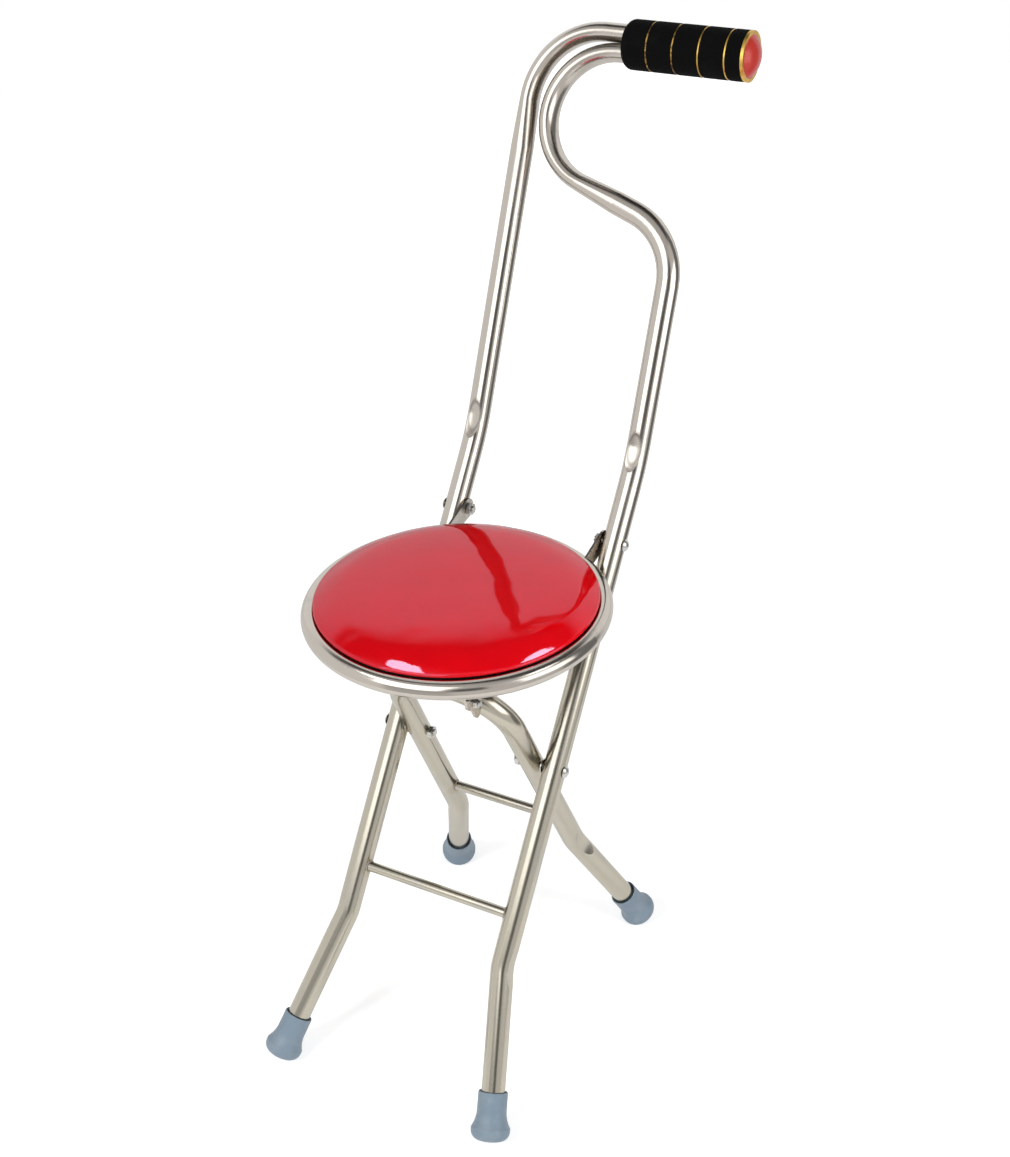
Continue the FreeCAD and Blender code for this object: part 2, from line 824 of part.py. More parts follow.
def catch_bolts():
    length = catch_nut_seat + catch_nut_height + bolt_tip - catch_head_seat
    bolt = dome_bolt(catch_bolt_od, length, catch_head_od, catch_head_height)
    return both_sides(bolt, catch_head_seat, catch_bolt, outwards=False)


def catch_nuts():
    return both_sides(hex_nut(catch_nut_flats, catch_nut_height, catch_bolt_od), catch_nut_seat, catch_bolt)


front_bar_point = leg_pivot - lower_up * front_bar_below_leg_pivot
rear_bar_point = rear_point(0, -rear_bar_below_leg_pivot)

pieces = {
    "left_frame_tube": frame_tube(-1, left_solid),
    "right_frame_tube": frame_tube(1, right_solid),
    "front_crossbar": crossbar(front_bar_point, frame_half_span, lambda side: lower_up),
    "handle_grip": handle_grip(),
    "grip_gold_rings": gold_rings(),
    "grip_end_ring": grip_end_ring(),
    "grip_end_cap": grip_end_cap(),
    "front_left_foot": foot(front_sole[-1], front_direction[-1]),
    "front_right_foot": foot(front_sole[1], front_direction[1]),
    "rear_leg_frame": rear_leg_frame(),
    "rear_crossbar": crossbar(rear_bar_point, rear_half_width(-rear_bar_below_leg_pivot), rear_leg_up),
    "rear_left_foot": foot(rear_sole[-1], rear_direction[-1]),
    "rear_right_foot": foot(rear_sole[1], rear_direction[1]),
    "seat_ring": seat_ring(),
    "seat_ear_left": seat_ear(-1),
    "seat_ear_right": seat_ear(1),
    "seat_tabs": seat_tabs(),
    "seat_board": seat_board(),
    "seat_cushion": seat_cushion(),
    "catch_bracket": catch_bracket(),
    "catch_hook_left": catch_hook(-1),
    "catch_hook_right": catch_hook(1),
    "catch_bolts": catch_bolts(),
    "catch_nuts": catch_nuts(),
    "seat_screws": seat_screws(),
    "seat_pivot_bolts": pivot_bolts(seat_pivot, seat_nut_x),
    "seat_pivot_nuts": pivot_nuts(seat_pivot, seat_nut_x),
    "leg_pivot_bolts": pivot_bolts(leg_pivot, leg_nut_x),
    "leg_pivot_nuts": pivot_nuts(leg_pivot, leg_nut_x),
    "leg_pivot_washers": leg_pivot_washers(),
}

# The origin is on the floor, midway between the front of the feet and the back of the grip.
front_edge = pieces["front_left_foot"].optimalBoundingBox(False, False).YMin
back_edge = grip_point(0).y + grip_od / 2
shift = V(0, -(front_edge + back_edge) / 2, 0)

os.makedirs("parts", exist_ok=True)
for name, shape in pieces.items():
    shape.translate(shift)
    shape.exportStep("parts/" + name + ".step")
    print(name, len(shape.Solids), shape.isValid(), round(shape.Volume, 1))
for name, point in (("seat pivot", seat_pivot), ("leg pivot", leg_pivot), ("grip", grip_point(0)),
                    ("seat centre", seat_centre), ("kink", kink), ("catch bolt", catch_bolt)):
    place = point + shift
    print(name, [round(value, 3) for value in place])
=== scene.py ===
import json
import math

import bmesh
import bpy
import numpy as np
from mathutils import Matrix, Vector


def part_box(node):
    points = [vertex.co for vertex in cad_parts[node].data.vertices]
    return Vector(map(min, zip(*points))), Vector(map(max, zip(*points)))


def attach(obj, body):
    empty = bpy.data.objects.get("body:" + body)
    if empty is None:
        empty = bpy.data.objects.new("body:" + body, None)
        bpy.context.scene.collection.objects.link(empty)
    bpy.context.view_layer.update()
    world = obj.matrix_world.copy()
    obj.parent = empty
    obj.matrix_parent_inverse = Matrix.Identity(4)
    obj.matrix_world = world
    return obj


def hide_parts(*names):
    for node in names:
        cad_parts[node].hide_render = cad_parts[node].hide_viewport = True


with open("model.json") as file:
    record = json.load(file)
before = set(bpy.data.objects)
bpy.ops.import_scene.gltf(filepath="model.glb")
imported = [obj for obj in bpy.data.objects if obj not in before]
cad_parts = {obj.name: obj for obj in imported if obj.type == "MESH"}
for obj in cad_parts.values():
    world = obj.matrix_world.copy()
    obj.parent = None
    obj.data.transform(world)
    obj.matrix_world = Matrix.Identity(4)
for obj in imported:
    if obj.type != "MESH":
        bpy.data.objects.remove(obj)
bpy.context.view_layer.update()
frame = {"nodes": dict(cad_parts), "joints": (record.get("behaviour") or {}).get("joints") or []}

# A walking cane that opens into a stool: polished steel tubes, a round red vinyl seat, grey rubber feet
# and a black foam grip. Metres; +X to the right, +Y to the back, +Z up, and the floor is Z = 0.

nodes = frame["nodes"]
joints = {joint["name"]: joint for joint in frame["joints"]}
seat_pivot = Vector(joints["seat_fold"]["pos_m"])
leg_pivot = Vector(joints["legs_fold"]["pos_m"])
MM = 0.001


def middle(node):
    low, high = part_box(node)
    return (low + high) / 2


def half_size(node):
    low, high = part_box(node)
    return (high - low) / 2


seat_centre = middle("seat_ring")
ring_outer = half_size("seat_ring").x
ring_tube_radius = half_size("seat_ring").z
ring_radius = ring_outer - ring_tube_radius
long_tube_up = (seat_pivot - leg_pivot).normalized()


# Node trees

class Value:
    """A number in a node tree. Sums on it add Math nodes."""

    def __init__(self, tree, socket):
        self.tree = tree
        self.socket = socket

    def maths(self, operation, first, second=0.0):
        return self.tree.node("ShaderNodeMath", {"operation": operation}, {0: first, 1: second})

    def __add__(self, other):
        return self.maths("ADD", self, other)

    def __radd__(self, other):
        return self.maths("ADD", other, self)

    def __rsub__(self, other):
        return self.maths("SUBTRACT", other, self)

    def __mul__(self, other):
        return self.maths("MULTIPLY", self, other)

    def __rmul__(self, other):
        return self.maths("MULTIPLY", other, self)

    def __neg__(self):
        return self.maths("MULTIPLY", self, -1.0)


class Tree:
    """A node tree that is filled one node at a time."""

    def __init__(self, node_tree):
        self.tree = node_tree

    def node(self, kind, settings=None, inputs=None, out=0):
        """Adds a node: its settings first, then the values or links of its sockets. Returns one output."""
        made = self.tree.nodes.new(kind)
        for name, value in (settings or {}).items():
            setattr(made, name, value)
        for name, value in (inputs or {}).items():
            if isinstance(value, Value):
                self.tree.links.new(value.socket, made.inputs[name])
            else:
                made.inputs[name].default_value = value
        return Value(self, made.outputs[out])

    def smooth(self, value, low, high, start=0.0, end=1.0):
        """Goes softly from start to end as the value goes from low to high."""
        return self.node("ShaderNodeMapRange", {"interpolation_type": "SMOOTHSTEP"},
                         {"Value": value, "From Min": low, "From Max": high, "To Min": start, "To Max": end})

    def between(self, value, low, high, soft):
        """One from low to high, nought outside, with soft edges."""
        rise = self.smooth(value, low - soft, low + soft)
        fall = self.smooth(value, high - soft, high + soft)
        return rise * (1 - fall)

    def mix(self, share, first, second):
        """Colour that goes from the first to the second as the share goes from 0 to 1."""
        return self.node("ShaderNodeMix", {"data_type": "RGBA", "clamp_factor": True},
                         {0: share, 6: first, 7: second}, out=2)


class Finish(Tree):
    """A material under way, with a Principled shader at its end."""

    def __init__(self, name, **constants):
        self.material = bpy.data.materials.new(name)
        self.material.use_nodes = True
        super().__init__(self.material.node_tree)
        self.tree.nodes.clear()
        self.shader = self.tree.nodes.new("ShaderNodeBsdfPrincipled")
        output = self.tree.nodes.new("ShaderNodeOutputMaterial")
        self.tree.links.new(self.shader.outputs[0], output.inputs[0])
        for socket, value in constants.items():
            self.shader.inputs[socket.replace("_", " ")].default_value = value
        self.place = self.node("ShaderNodeTexCoord", out="Object")

    def feed(self, socket, value):
        self.tree.links.new(value.socket, self.shader.inputs[socket])

    def stretched(self, scale, turn=(0.0, 0.0, 0.0), place=None):
        """Coordinates turned and then stretched."""
        turned = self.node("ShaderNodeMapping", {"vector_type": "POINT"},
                           {"Vector": place or self.place, "Rotation": turn})
        return self.node("ShaderNodeMapping", {"vector_type": "POINT"}, {"Vector": turned, "Scale": scale})

    def noise(self, scale, detail=2.0, roughness=0.5, place=None):
        """Smooth noise about one half, with scale as its lumps to the metre."""
        return self.node("ShaderNodeTexNoise", {"noise_dimensions": "3D"},
                         {"Vector": place or self.place, "Scale": scale, "Detail": detail,
                          "Roughness": roughness})

    def patches(self, scale, low, high, detail=3.0, roughness=0.6):
        """Patches that go from nought to one as the noise goes from low to high."""
        return self.smooth(self.noise(scale, detail, roughness), low, high)

    def cells(self, scale):
        """Distance from the middle of the nearest small cell, with scale as the cells to the metre."""
        return self.node("ShaderNodeTexVoronoi", {"feature": "F1"}, {"Vector": self.place, "Scale": scale},
                         out="Distance")

    def axis(self, letter, vector=None):
        return self.node("ShaderNodeSeparateXYZ", None, {0: vector or self.place}, out=letter)

    def distance_to(self, point):
        """Distance from a point of the object, in metres."""
        return self.node("ShaderNodeVectorMath", {"operation": "DISTANCE"},
                         {0: self.place, 1: tuple(point)}, out="Value")

    def oval(self, point, lean, half_sizes):
        """Nought at a point and one all round an oval about it, with the oval's long side along a tube."""
        moved = self.node("ShaderNodeVectorMath", {"operation": "SUBTRACT"}, {0: self.place, 1: tuple(point)})
        squashed = self.stretched([1 / size for size in half_sizes], (lean, 0.0, 0.0), moved)
        return self.node("ShaderNodeVectorMath", {"operation": "LENGTH"}, {0: squashed}, out="Value")

    def bump(self, height, depth, strength):
        """Dents the surface by a pattern, with depth in metres for a rise of one in the pattern."""
        self.feed("Normal", self.node("ShaderNodeBump", None,
                                      {"Height": height, "Distance": depth, "Strength": strength}))


def grey(level):
    return (level, level, level, 1.0)


# Finishes

STEEL = (0.68, 0.625, 0.56, 1.0)
STEEL_WARM = (0.64, 0.595, 0.495, 1.0)
STEEL_DULL = (0.54, 0.52, 0.485, 1.0)
STEEL_ROLLED = (0.48, 0.45, 0.41, 1.0)
HEAT_STRAW = (0.46, 0.37, 0.25, 1.0)
HEAT_REACH = (7.0 * MM, 12.5 * MM)
DENT_SIZE = (7.0 * MM, 12.0 * MM, 17.0 * MM)
# Painted shade: the dark colour of the band round each dent's rim
DENT_RIM_PAINTED_SHADE = (0.30, 0.275, 0.245, 1.0)
DENT_RIM_SPAN = (0.66, 0.92)
DENT_RIM_SOFT = 0.12
UPPER_LEAN = math.radians(23.8)
# Streaks and grain, as lumps to the metre
STREAKS_ALONG = 14.0
STREAKS_ACROSS = 900.0
ROLLED_GRAIN = (1500.0, 60.0, 60.0)
STREAK_DEPTH = 0.012 * MM
STREAK_STRENGTH = 0.5
# Heights over which the satin polish of the legs and of the handle's bends comes in
SATIN_BELOW = (0.44, 0.36)
SATIN_ABOVE = (0.60, 0.68)


def streaked(steel, place):
    """Fine streaks in stretched coordinates, which the surface has as well."""
    streaks = steel.noise(1.0, detail=3.0, place=place)
    steel.bump(streaks, STREAK_DEPTH, STREAK_STRENGTH)
    return streaks


def polished_steel(name, lean, welds, dents):
    """Polished tube: fine streaks along its length, faint smears, a straw heat tint at the welds, painted
    dark shade on the slightly rougher rims round the dents, and a softer satin polish on the legs and the
    handle's bends."""
    steel = Finish(name, Metallic=1.0)
    along = steel.stretched((STREAKS_ACROSS, STREAKS_ACROSS, STREAKS_ALONG), (lean, 0.0, 0.0))
    streaks = streaked(steel, along)
    smears = steel.noise(22.0, detail=3.0, roughness=0.6)
    dull = steel.smooth(smears, 0.48, 0.72)
    height = steel.axis("Z")
    legs = steel.smooth(height, *SATIN_BELOW)
    satin = legs + steel.smooth(height, *SATIN_ABOVE)
    colour = steel.mix(dull * 0.35, steel.mix(legs, STEEL, STEEL_WARM), STEEL_DULL)
    for weld in welds:
        near = steel.smooth(steel.distance_to(weld), *HEAT_REACH, 1.0, 0.0)
        colour = steel.mix(near * (0.2 + 0.3 * smears), colour, HEAT_STRAW)
    roughness = 0.11 + 0.05 * streaks + 0.05 * dull + 0.07 * satin
    for dent in dents:
        rim = steel.between(steel.oval(dent, UPPER_LEAN, DENT_SIZE), *DENT_RIM_SPAN, DENT_RIM_SOFT)
        # Painted shade: a dark band on the rim of each dent stands in for its shading; the rim is also a
        # little rougher
        colour = steel.mix(0.75 * rim, colour, DENT_RIM_PAINTED_SHADE)
        roughness = roughness + 0.1 * rim
    steel.feed("Base Color", colour)
    steel.feed("Roughness", roughness)
    return steel.material


def crossbar_steel():
    """Drawn bar of the crossbars: streaks along the bar and a duller, warmer polish."""
    steel = Finish("crossbar_steel", Metallic=1.0)
    streaks = streaked(steel, steel.stretched((STREAKS_ALONG, STREAKS_ACROSS, STREAKS_ACROSS)))
    dull = steel.patches(34.0, 0.46, 0.7)
    steel.feed("Base Color", steel.mix(dull * 0.5, STEEL_WARM, STEEL_DULL))
    steel.feed("Roughness", 0.17 + 0.05 * streaks + 0.06 * dull)
    return steel.material


def seat_hoop_steel():
    """The tubes' steel on the seat's hoop, with streaks that run round the hoop and duller patches."""
    steel = Finish("seat_hoop_steel", Metallic=1.0)
    from_middle = steel.node("ShaderNodeMapping", {"vector_type": "POINT"},
                             {"Vector": steel.place, "Location": tuple(-seat_centre)})
    x, y, z = (steel.axis(letter, from_middle) for letter in "XYZ")
    away = x.maths("SQRT", x * x + y * y)
    turn = x.maths("ARCTAN2", x, -y)
    streaks = streaked(steel, steel.node("ShaderNodeCombineXYZ", None, {
        "X": away * STREAKS_ACROSS, "Y": z * STREAKS_ACROSS, "Z": turn * (STREAKS_ALONG * ring_radius)}))
    dull = steel.patches(26.0, 0.5, 0.75)
    steel.feed("Base Color", steel.mix(dull * 0.4, STEEL, STEEL_DULL))
    steel.feed("Roughness", 0.14 + 0.06 * streaks + 0.06 * dull)
    return steel.material


def weld_steel():
    """Weld beads: dull steel with a grain, browned in patches."""
    steel = Finish("weld_steel", Metallic=1.0)
    grain = steel.noise(900.0, detail=3.0)
    browned = steel.patches(260.0, 0.4, 0.65, detail=2.0, roughness=0.5)
    steel.feed("Base Color", steel.mix(browned, STEEL_DULL, HEAT_STRAW))
    steel.feed("Roughness", 0.28 + 0.25 * grain)
    steel.bump(grain, 0.08 * MM, 0.7)
    return steel.material


def flat_bar_steel():
    """Cut and bent flat bar of the ears, tabs, bracket and hooks: rolled grain and duller patches."""
    steel = Finish("flat_bar_steel", Metallic=1.0)
    grain = steel.noise(1.0, detail=3.0, place=steel.stretched(ROLLED_GRAIN))
    dull = steel.patches(75.0, 0.42, 0.66, detail=4.0, roughness=0.65)
    steel.feed("Base Color", steel.mix(dull * 0.45, STEEL, STEEL_ROLLED))
    steel.feed("Roughness", 0.2 + 0.12 * dull + 0.08 * grain)
    steel.bump(grain, 0.03 * MM, 0.4)
    return steel.material


ZINC = (0.74, 0.74, 0.73, 1.0)
ZINC_YELLOW = (0.62, 0.58, 0.47, 1.0)


def zinc_steel():
    """Bright zinc plate on bolts, nuts, screws and washers, with a faint yellow cast in patches."""
    zinc = Finish("zinc_steel", Metallic=1.0)
    cast = zinc.patches(240.0, 0.45, 0.68, detail=4.0)
    grain = zinc.noise(1600.0)
    zinc.feed("Base Color", zinc.mix(cast, ZINC, ZINC_YELLOW))
    zinc.feed("Roughness", 0.2 + 0.14 * cast + 0.08 * grain)
    zinc.bump(grain, 0.02 * MM, 0.5)
    return zinc.material


VINYL_RED = (0.63, 0.001, 0.004, 1.0)
VINYL_DEEP = (0.53, 0.0007, 0.0035, 1.0)
VINYL_GLOSS = (0.68, 0.68, 1.0, 1.0)


def red_vinyl():
    """Patent vinyl over foam: deep red under a cool gloss, with a slight ripple, fine pores and some dust."""
    vinyl = Finish("red_vinyl", IOR=1.6, Specular_Tint=VINYL_GLOSS)
    cloud = vinyl.noise(28.0, detail=3.0)
    ripple = vinyl.noise(38.0, detail=1.0)
    pores = vinyl.cells(1500.0)
    dust = vinyl.patches(700.0, 0.78, 0.84, detail=1.0, roughness=0.5)
    vinyl.feed("Base Color", vinyl.mix(cloud, VINYL_RED, VINYL_DEEP))
    vinyl.feed("Roughness", 0.035 + 0.03 * cloud + 0.25 * dust)
    vinyl.bump(ripple + 0.003 * pores, 0.5 * MM, 0.7)
    return vinyl.material


BOARD_BLACK = (0.012, 0.011, 0.010, 1.0)
BOARD_BROWN = (0.032, 0.027, 0.022, 1.0)
BOARD_WOOD = (0.16, 0.11, 0.07, 1.0)
PLY_GRAIN = (700.0, 26.0, 26.0)


def board_paint():
    """Black paint over plywood, with the grain showing through and a few scuffs."""
    board = Finish("board_paint")
    grain = board.noise(1.0, detail=4.0, place=board.stretched(PLY_GRAIN))
    scuffs = board.patches(60.0, 0.6, 0.7, detail=5.0, roughness=0.7)
    paint = board.mix(grain, BOARD_BLACK, BOARD_BROWN)
    board.feed("Base Color", board.mix(scuffs * 0.5, paint, BOARD_WOOD))
    board.feed("Roughness", 0.5 + 0.25 * grain)
    board.bump(grain, 0.2 * MM, 0.6)
    return board.material


RUBBER = (0.222, 0.292, 0.362, 1.0)
RUBBER_WORN = (0.165, 0.215, 0.265, 1.0)
RUBBER_CHALKY = (0.30, 0.362, 0.42, 1.0)
SCUFF_HEIGHTS = (0.5 * MM, 9 * MM)


def grey_rubber():
    """Moulded blue-grey rubber: chalky bloom, fine stipple, and scuffs near the floor."""
    rubber = Finish("grey_rubber", IOR=1.5)
    bloom = rubber.noise(70.0, detail=4.0, roughness=0.6)
    stipple = rubber.noise(1300.0)
    near_floor = rubber.smooth(rubber.axis("Z"), *SCUFF_HEIGHTS, 1.0, 0.0)
    scuffs = near_floor * rubber.patches(330.0, 0.42, 0.62, detail=4.0, roughness=0.7)
    colour = rubber.mix(rubber.smooth(bloom, 0.42, 0.7) * 0.55, RUBBER, RUBBER_CHALKY)
    rubber.feed("Base Color", rubber.mix(scuffs * 0.8, colour, RUBBER_WORN))
    rubber.feed("Roughness", 0.34 + 0.14 * bloom + 0.2 * scuffs)
    rubber.bump(stipple + 1.5 * scuffs, 0.06 * MM, 0.5)
    return rubber.material


FOAM = grey(0.0028)
FOAM_RUBBED = grey(0.0065)


def black_foam():
    """Closed-cell foam of the grip: fine open pores and a rubbed grey cast."""
    foam = Finish("black_foam", IOR=1.35, Specular_IOR_Level=0.12)
    pores = foam.cells(2100.0)
    lumps = foam.noise(420.0, detail=3.0)
    tone_shift = foam.patches(40.0, 0.5, 0.75, detail=4.0)
    foam.feed("Base Color", foam.mix(tone_shift * 0.6 + 0.25 * pores, FOAM, FOAM_RUBBED))
    foam.feed("Roughness", 0.72 + 0.2 * pores)
    foam.bump(pores + 0.8 * lumps, 0.22 * MM, 0.8)
    return foam.material


GOLD = (0.90, 0.57, 0.13, 1.0)
# The dark gold serves both the worn patches and the painted shade; the trim is in full painted shade up to
# this share of its length, counted from the end away from the grip's free end
GOLD_WORN_AND_SHADED = (0.16, 0.10, 0.04, 1.0)
GOLD_FULL_SHADE_UP_TO = 0.2


def gold_trim():
    """Metallised trim with dark worn patches, and painted shade that darkens it away from the grip's free
    end, where it is bright.
    """
    gold = Finish("gold_trim", Metallic=1.0)
    low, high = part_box("grip_gold_rings")
    patches = gold.patches(160.0, 0.42, 0.6)
    grain = gold.noise(1400.0)
    fade_from = low.x + GOLD_FULL_SHADE_UP_TO * (high.x - low.x)
    # Painted shade: the trim darkens more and more away from the grip's free end
    tone_shift = gold.smooth(gold.axis("X"), fade_from, high.x, 1.0, 0.0)
    # Dark patches of wear, added to the painted shade
    wear_and_painted_shade = tone_shift * (0.45 + 0.55 * patches) + 0.2 * patches
    gold.feed("Base Color", gold.mix(wear_and_painted_shade, GOLD, GOLD_WORN_AND_SHADED))
    gold.feed("Roughness", 0.32 + 0.12 * wear_and_painted_shade + 0.08 * grain)
    gold.bump(grain, 0.03 * MM, 0.5)
    return gold.material


CAP_RED = (0.60, 0.035, 0.022, 1.0)
CAP_DEEP = (0.47, 0.024, 0.016, 1.0)


def red_plastic():
    """Moulded cap: red plastic with a faint swirl and handling marks."""
    cap = Finish("red_plastic", IOR=1.49, Coat_Roughness=0.12)
    swirl = cap.noise(120.0, detail=3.0, roughness=0.6)
    marks = cap.patches(420.0, 0.55, 0.72, detail=4.0, roughness=0.7)
    cap.feed("Base Color", cap.mix(swirl, CAP_RED, CAP_DEEP))
    cap.feed("Roughness", 0.3 + 0.16 * marks)
    cap.feed("Coat Weight", 0.35 - 0.25 * marks)
    cap.bump(marks, 0.03 * MM, 0.5)
    return cap.material


# Welded ends of the crossbars, worked out from the bars and the tubes that they meet

TUBE_RADIUS = 10 * MM
WELD_WIDTH = 1.5 * MM
WELD_PITCH = 1.15 * MM
WELD_OFF_BAR = WELD_WIDTH / 4
BEAD_SIZES = (0.86, 1.16)
BEAD_STRETCH = 1.15


def bar_ends(bar):
    """Where each end of a crossbar meets the axis of its tube, as (side, point, bar radius)."""
    centre = middle(bar)
    size = half_size(bar)
    reach = size.x + math.sqrt(TUBE_RADIUS ** 2 - size.z ** 2)
    return [(side, centre + Vector((side * reach, 0, 0)), size.z) for side in (-1, 1)]


def saddle_path(side, point, bar_radius, tube_up, count=48):
    """Closed line round a bar's end, lying on the side of the tube."""
    across = Vector((1, 0, 0)).cross(tube_up)
    radius = bar_radius + WELD_OFF_BAR
    path = []
    for i in range(count):
        turn = 2 * math.pi * i / count
        off_axis = radius * math.sin(turn)
        depth = math.sqrt(TUBE_RADIUS ** 2 - off_axis ** 2)
        path.append(point + tube_up * (radius * math.cos(turn)) + across * off_axis
                    - Vector((side * depth, 0, 0)))
    return path


rear_leg_up = leg_pivot - middle("rear_crossbar")
rear_leg_up.x = 0
rear_leg_up.normalize()
front_welds = bar_ends("front_crossbar")
rear_welds = bar_ends("rear_crossbar")


def bead_tree(material):
    """Geometry Nodes that lay overlapping beads along curves."""
    group = bpy.data.node_groups.new("weld_beads", "GeometryNodeTree")
    sockets = (("Geometry", "NodeSocketGeometry"), ("Bead Width", "NodeSocketFloat"),
               ("Bead Pitch", "NodeSocketFloat"), ("Seed", "NodeSocketInt"))
    for name, kind in sockets:
        group.interface.new_socket(name, in_out="INPUT", socket_type=kind)
    group.interface.new_socket("Geometry", in_out="OUTPUT", socket_type="NodeSocketGeometry")
    tree = Tree(group)
    given = group.nodes.new("NodeGroupInput")
    curves, width, pitch, seed = (Value(tree, given.outputs[i]) for i in range(len(sockets)))
    points = tree.node("GeometryNodeResampleCurve", {"mode": "LENGTH"}, {"Curve": curves, "Length": pitch})
    bead = tree.node("GeometryNodeMeshIcoSphere", None, {"Radius": 0.5, "Subdivisions": 3})
    tangent = tree.node("GeometryNodeInputTangent")
    facing = tree.node("FunctionNodeAlignRotationToVector", {"axis": "Z"}, {"Vector": tangent})
    size = tree.node("FunctionNodeRandomValue", {"data_type": "FLOAT"},
                     {"Min": BEAD_SIZES[0], "Max": BEAD_SIZES[1], "Seed": seed}, out=1)
    thick = width * size
    shape = tree.node("ShaderNodeCombineXYZ", None, {"X": thick, "Y": thick, "Z": thick * BEAD_STRETCH})
    laid = tree.node("GeometryNodeInstanceOnPoints", None,
                     {"Points": points, "Instance": bead, "Rotation": facing, "Scale": shape})
    solid = tree.node("GeometryNodeRealizeInstances", None, {"Geometry": laid})
    rounded = tree.node("GeometryNodeSetShadeSmooth", None, {"Geometry": solid})
    finished = tree.node("GeometryNodeSetMaterial", None, {"Geometry": rounded, "Material": material})
    output = group.nodes.new("NodeGroupOutput")
    group.links.new(finished.socket, output.inputs[0])
    return group


def poly_curve(name, paths, closed):
    """Curve object with one plain spline for each path."""
    curve = bpy.data.curves.new(name, "CURVE")
    curve.dimensions = "3D"
    for path in paths:
        spline = curve.splines.new("POLY")
        spline.points.add(len(path) - 1)
        spline.use_cyclic_u = closed
        for point, place in zip(spline.points, path):
            point.co = (*place, 1.0)
    made = bpy.data.objects.new(name, curve)
    bpy.context.scene.collection.objects.link(made)
    return made


def from_nodes(name, source, group, values):
    """Plain mesh object from what a Geometry Nodes tree makes of the source, which is then removed."""
    modifier = source.modifiers.new("shape", "NODES")
    modifier.node_group = group
    for item in group.interface.items_tree:
        if item.in_out == "INPUT" and item.name in values:
            modifier[item.identifier] = values[item.name]
    bpy.context.view_layer.update()
    evaluated = source.evaluated_get(bpy.context.evaluated_depsgraph_get())
    mesh = bpy.data.meshes.new_from_object(evaluated)
    mesh.name = name
    source.modifiers.remove(modifier)
    bpy.data.objects.remove(source)
    made = bpy.data.objects.new(name, mesh)
    bpy.context.scene.collection.objects.link(made)
    return made


def add_piece(piece, body):
    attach(piece, body)
    return piece


def weld_pieces():
    """Beads round the crossbars' ends, and along the ears and tabs where they meet the hoop. The runs are
    (name, paths, closed, body, seed)."""
    group = bead_tree(weld_steel())
    front = [saddle_path(*weld, long_tube_up) for weld in front_welds]
    rear = [saddle_path(*weld, rear_leg_up) for weld in rear_welds]
    runs = (("front_crossbar_welds", front, True, "main_frame", 3),
            ("rear_crossbar_welds", rear, True, "rear_legs", 5),
            ("seat_ear_welds", ear_weld_paths(), False, "seat", 11),
            ("seat_tab_welds", tab_weld_paths(), False, "seat", 13))
    for name, paths, closed, body, seed in runs:
        source = poly_curve(name + "_path", paths, closed)
        sizes = {"Bead Width": WELD_WIDTH, "Bead Pitch": WELD_PITCH, "Seed": seed}
        add_piece(from_nodes(name, source, group, sizes), body)


EAR_WELD_ARC = math.radians(52)


def ear_weld_paths(count=15):
    """Arcs on the back of the hoop along both faces of each ear."""
    paths = []
    for ear in ("seat_ear_left", "seat_ear_right"):
        low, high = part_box(ear)
        for face in (low.x, high.x):
            centre = seat_centre + Vector((face, math.sqrt(ring_radius ** 2 - face ** 2), 0))
            slant = ring_radius / math.sqrt(ring_radius ** 2 - face ** 2)
            turns = [EAR_WELD_ARC * (2 * i / (count - 1) - 1) for i in range(count)]
            paths.append([centre + Vector((0, slant * ring_tube_radius * math.cos(turn),
                                           ring_tube_radius * math.sin(turn))) for turn in turns])
    return paths


TAB_ANGLES = (40, 140, 220, 320)
TAB_HALF_WIDTH = 11 * MM


def tab_weld_paths(count=9):
    """Short lines under the outer end of each tab, against the inside of the hoop."""
    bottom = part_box("seat_tabs")[0].z
    drop = seat_centre.z - bottom
    radius = ring_radius - math.sqrt(ring_tube_radius ** 2 - drop ** 2)
    paths = []
    for angle in TAB_ANGLES:
        half_turn = TAB_HALF_WIDTH / radius
        turns = [math.radians(angle) + half_turn * (2 * i / (count - 1) - 1) for i in range(count)]
        paths.append([seat_centre + Vector((radius * math.cos(turn), radius * math.sin(turn), -drop))
                      for turn in turns])
    return paths


# Seat cushion

PAD_SPOKES = 160
PAD_FLAT_SHARES = (0.25, 0.5, 0.75, 0.92)
PAD_TUCK_RINGS = 4
PAD_EDGE_RINGS = 7
PAD_TOP_RINGS = 34
PAD_START_INSET = 0.7 * MM
TUCK_ROUND = 1.4 * MM
EDGE_ROUND = 3.0 * MM
EDGE_SLOPE = math.radians(28)
SHOULDER_RADIUS = 45 * MM
CROWN_SLOPE = math.radians(7)


def arc_points(centre, radius, start, end, count):
    """Points of an outline's arc; slope 0 faces up, a right angle faces out and two right angles down."""
    slopes = [start + (end - start) * i / (count - 1) for i in range(count)]
    return [(centre[0] + radius * math.sin(slope), centre[1] + radius * math.cos(slope)) for slope in slopes]


